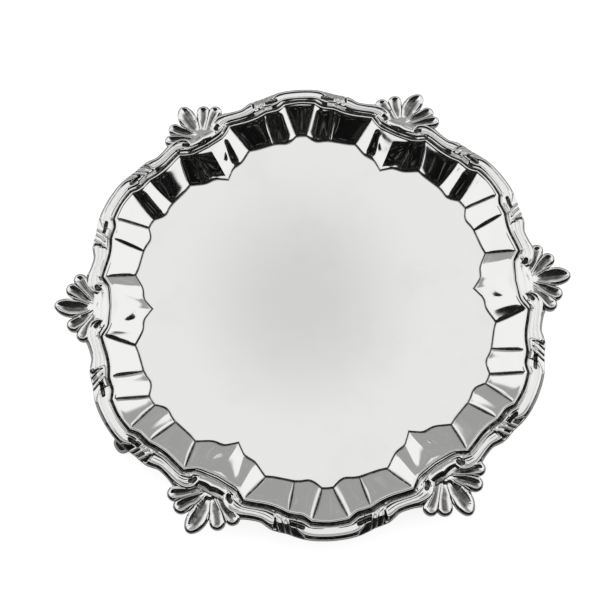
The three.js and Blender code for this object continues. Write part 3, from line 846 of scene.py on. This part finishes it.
# Zones of the world by direction, with x to the side, y ahead and z up, and their tones
TENT_CENTRE = 0.34  # y of the tent's darkest spot
TENT = (0.02, 0.17, 0.67, 0.84)  # distance from that spot, and the tone
TENT_SIDES = (0.2, 0.6, 0.0, 0.08)  # distance to the side, and the tone added
BACK_AHEAD, BACK_TOP = (0.77, 0.82), (0.74, 0.8)
BACK_TONES = ((0.35, 0.35, 0.35), (0.43, 0.43, 0.43))
FRONT_AHEAD, FRONT_TOP = (-0.38, -0.33), (0.95, 0.965)
FRONT_WING = (0.42, 0.58, -0.42, 0.0)  # below this z the front zone reaches round the sides
FRONT_TONES = ((0.004, 0.004, 0.004), (0.14, 0.136, 0.13))
SHAPES_SCALE, BACK_SHAPES, FRONT_SHAPES = 18.0, (0.6, 0.66), (0.58, 0.66)
WHITE = (1.0, 1.0, 1.0)


def floor_material():
    """A pale sweep: nearly shadowless to the eye, and mid grey where the silver mirrors it."""
    material = bpy.data.materials.new("studio_floor")
    material.use_nodes = True
    tree = material.node_tree
    tree.nodes.remove(tree.nodes["Principled BSDF"])
    output = tree.nodes["Material Output"]
    paper = tree.nodes.new("ShaderNodeBsdfDiffuse")
    paper.inputs["Color"].default_value = (FLOOR_GREY, FLOOR_GREY, FLOOR_GREY, 1)
    glow = tree.nodes.new("ShaderNodeEmission")
    glow.inputs["Strength"].default_value = FLOOR_GLOW
    both = tree.nodes.new("ShaderNodeAddShader")
    tree.links.new(glow.outputs[0], both.inputs[0])
    tree.links.new(paper.outputs[0], both.inputs[1])
    mix = tree.nodes.new("ShaderNodeMixShader")
    tree.links.new(tree.nodes.new("ShaderNodeLightPath").outputs["Is Camera Ray"], mix.inputs[0])
    tree.links.new(paper.outputs[0], mix.inputs[1])
    tree.links.new(both.outputs[0], mix.inputs[2])
    tree.links.new(mix.outputs[0], output.inputs["Surface"])
    return material


def make_floor():
    """One square under the feet."""
    mesh = bpy.data.meshes.new("studio_floor")
    low = CAD_BOX[0].z - FLOOR_GAP
    corners = [(x * FLOOR_HALF, y * FLOOR_HALF, low) for x, y in ((-1, -1), (1, -1), (1, 1), (-1, 1))]
    mesh.from_pydata(corners, [], [(0, 1, 2, 3)])
    mesh.materials.append(floor_material())
    obj = bpy.data.objects.new("studio_floor", mesh)
    bpy.context.scene.collection.objects.link(obj)


def link_length(tree, a, b):
    """The length of the vector (a, b)."""
    squares = [link_math(tree, "MULTIPLY", value, value) for value in (a, b)]
    return link_math(tree, "SQRT", link_math(tree, "ADD", *squares))


def zone(tree, along, limits, z, top, inside_first):
    """1 inside a zone: past its limits along one coordinate, and below its top."""
    ends = (1.0, 0.0) if inside_first else (0.0, 1.0)
    below = link_range(tree, z, *top, 1.0, 0.0)
    return link_math(tree, "MULTIPLY", link_range(tree, along, *limits, *ends), below)


def make_studio():
    """A white tent over the top and sides, a grey wall low behind, and a dark opening on the near side."""
    world = bpy.data.worlds.new("studio")
    bpy.context.scene.world = world
    world.use_nodes = True
    tree = world.node_tree
    background = tree.nodes["Background"]
    turn = tree.nodes.new("ShaderNodeMapping")
    turn.vector_type = "VECTOR"
    turn.inputs["Rotation"].default_value = (0, 0, -HEADING)
    tree.links.new(tree.nodes.new("ShaderNodeTexCoord").outputs["Generated"], turn.inputs["Vector"])
    parts = tree.nodes.new("ShaderNodeSeparateXYZ")
    tree.links.new(turn.outputs["Vector"], parts.inputs[0])
    x, y, z = parts.outputs
    level = link_math(tree, "SUBTRACT", 1.0, link_math(tree, "MULTIPLY", z, z), clamp=True)
    level = link_math(tree, "MAXIMUM", link_math(tree, "SQRT", level), 0.001)
    ahead = link_math(tree, "DIVIDE", y, level)
    off_centre = link_length(tree, x, link_math(tree, "SUBTRACT", y, TENT_CENTRE))
    sides = link_range(tree, link_math(tree, "ABSOLUTE", x), *TENT_SIDES)
    tent = link_math(tree, "ADD", link_range(tree, off_centre, *TENT), sides)
    back = zone(tree, ahead, BACK_AHEAD, z, BACK_TOP, inside_first=False)
    wing = link_math(tree, "ADD", ahead, link_range(tree, z, *FRONT_WING))
    front = zone(tree, wing, FRONT_AHEAD, z, FRONT_TOP, inside_first=True)
    shapes = noise(tree, turn.outputs["Vector"], SHAPES_SCALE, 2.0)
    back_tone = link_mix(tree, link_range(tree, shapes, *BACK_SHAPES), *BACK_TONES)
    front_tone = link_mix(tree, link_range(tree, shapes, *FRONT_SHAPES), *FRONT_TONES)
    tone = link_mix(tree, front, link_mix(tree, back, tent, back_tone), front_tone)
    seen = tree.nodes.new("ShaderNodeLightPath").outputs["Is Camera Ray"]
    tree.links.new(link_mix(tree, seen, tone, WHITE), background.inputs["Color"])


def make_lamp():
    """A broad soft lamp overhead, for the faint contact shadow."""
    data = bpy.data.lights.new("overhead_softbox", "AREA")
    data.shape, data.size, data.energy = "DISK", 1.2, 3.0
    lamp = bpy.data.objects.new("overhead_softbox", data)
    lamp.location = (0.1, 0.15, 1.6)
    lamp.visible_glossy = False
    bpy.context.scene.collection.objects.link(lamp)
    lamp.rotation_euler = (Vector((0, 0, 0)) - lamp.location).to_track_quat("-Z", "Y").to_euler()


# ---------------------------------------------------------------- camera
CAMERA_ELEVATION, CAMERA_ROLL = math.radians(70.144), math.radians(-1.499)
CAMERA_DISTANCE = 351.6
CAMERA_TARGET = (-5.8, -0.73)  # the point of the well's floor that it is aimed at
LENS, SENSOR = 49.325, 36


def make_camera():
    """The camera, aimed at a point of the well, tipped and slightly rolled."""
    turn = Matrix.Rotation(HEADING, 3, "Z")
    target = turn @ Vector((*CAMERA_TARGET, 0)) + Vector((0, 0, FLOOR_Z))
    away = Vector((0, -math.cos(CAMERA_ELEVATION), math.sin(CAMERA_ELEVATION)))
    forward, right = -away, Vector((1, 0, 0))
    up = right.cross(forward)
    rolled_right = math.cos(CAMERA_ROLL) * right + math.sin(CAMERA_ROLL) * up
    rolled_up = -math.sin(CAMERA_ROLL) * right + math.cos(CAMERA_ROLL) * up
    data = bpy.data.cameras.new("camera")
    data.sensor_fit, data.sensor_width, data.lens = "HORIZONTAL", SENSOR, LENS
    data.clip_start, data.clip_end = 0.01, 20
    camera = bpy.data.objects.new("camera", data)
    axes = Matrix([turn @ rolled_right, turn @ rolled_up, turn @ away]).transposed()
    camera.matrix_world = Matrix.Translation((target + turn @ away * CAMERA_DISTANCE) * MM) @ axes.to_4x4()
    bpy.context.scene.collection.objects.link(camera)
    bpy.context.scene.camera = camera


# ---------------------------------------------------------------- build
bpy.context.scene.view_settings.view_transform = "Standard"
make_camera()
make_studio()
make_lamp()
make_floor()

tray_silver = silver("tray_silver", gloss=(0.05, 0.1), scratch=0.02)
border_silver = silver("border_silver", gloss=(0.06, 0.14), scratch=0.03)
foot_silver = silver("foot_silver", gloss=(0.07, 0.16), scratch=0.03)

place("tray_plate_fine", tray_mesh(tray_silver), "tray_plate")
left = strip_mesh("rim_scroll_left", SHELL_HALF, KNUCKLE_END, border_silver, 116)
right = strip_mesh("rim_scroll_right", SHELL_HALF, KNUCKLE_END, border_silver, 116, mirror=True)
lobe = strip_mesh("lobe_scroll", KNUCKLE_END, SECTOR - KNUCKLE_END, border_silver, 141)
for i in range(SECTORS):
    turned = SECTOR * i
    shell = shell_mesh(border_silver, SHELL_LEANS[i])
    place(f"shell_{i + 1}_fine", shell, f"shell_{i + 1}", turned)
    place(f"rim_scroll_{i + 1}_left_fine", left, f"rim_scroll_{i + 1}_left", turned)
    place(f"rim_scroll_{i + 1}_right_fine", right, f"rim_scroll_{i + 1}_right", turned)
    place(f"lobe_scroll_{i + 1}_fine", lobe, f"lobe_scroll_{i + 1}", turned)
foot = foot_mesh(foot_silver)
for i in range(FOOT_COUNT):
    place(f"foot_{i + 1}_fine", foot, f"foot_{i + 1}", FOOT_HEADING + 360 / FOOT_COUNT * i)
